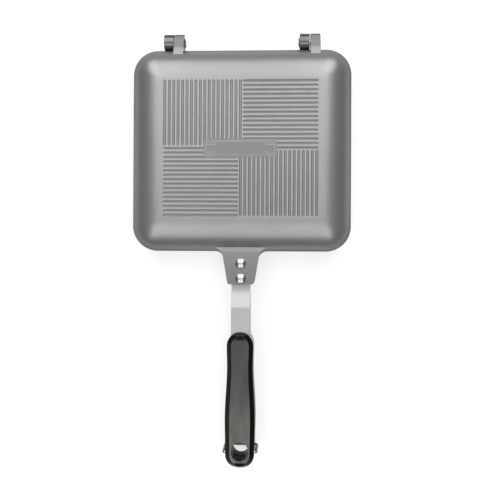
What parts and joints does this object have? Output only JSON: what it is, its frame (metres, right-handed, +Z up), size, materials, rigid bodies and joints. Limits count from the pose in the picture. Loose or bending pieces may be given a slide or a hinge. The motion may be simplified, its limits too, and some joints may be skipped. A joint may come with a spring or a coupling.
{
  "type": "camping sandwich toaster",
  "caption": "Hinged square sandwich toaster for a camp stove: grooved cast half shells on a split black handle, held shut by a wire bail.",
  "frame": {"origin": "middle of the lower half's outer face, on the surface that the toaster lies on", "axes": "+X across the body, +Y towards the hinges, +Z up from the surface through the closed halves"},
  "size_m": [0.169, 0.3339, 0.04],
  "materials": {
    "casting": "satin",
    "pin": "satin",
    "strap": "satin",
    "rivet": "satin",
    "grip": "gloss",
    "screw": "satin",
    "wire": "satin"
  },
  "bodies": {
    "lower_half": {"lower_shell": "casting", "right_hinge_pin": "pin", "lower_strap": "strap", "lower_body_rivet": "rivet", "lower_grip_rivet": "rivet", "lower_grip": "grip", "lower_grip_screw": "screw"},
    "upper_half": {"upper_shell": "casting", "left_hinge_pin": "pin", "upper_strap": "strap", "upper_body_rivet": "rivet", "upper_grip_rivet": "rivet", "upper_grip": "grip", "upper_grip_screw": "screw"},
    "latch_bail": {"latch_bail": "wire"}
  },
  "joints": [
    {"name": "lid_hinge", "type": "hinge", "parent": "lower_half", "child": "upper_half", "pos_m": [0, 0.0845, 0.02], "axis": [-1, 0, 0], "range_deg": [0, 180]},
    {"name": "bail_swing", "type": "hinge", "parent": "upper_half", "child": "latch_bail", "pos_m": [0, -0.2313, 0.0274], "axis": [-1, 0, 0], "range_deg": [-15, 248]}
  ]
}
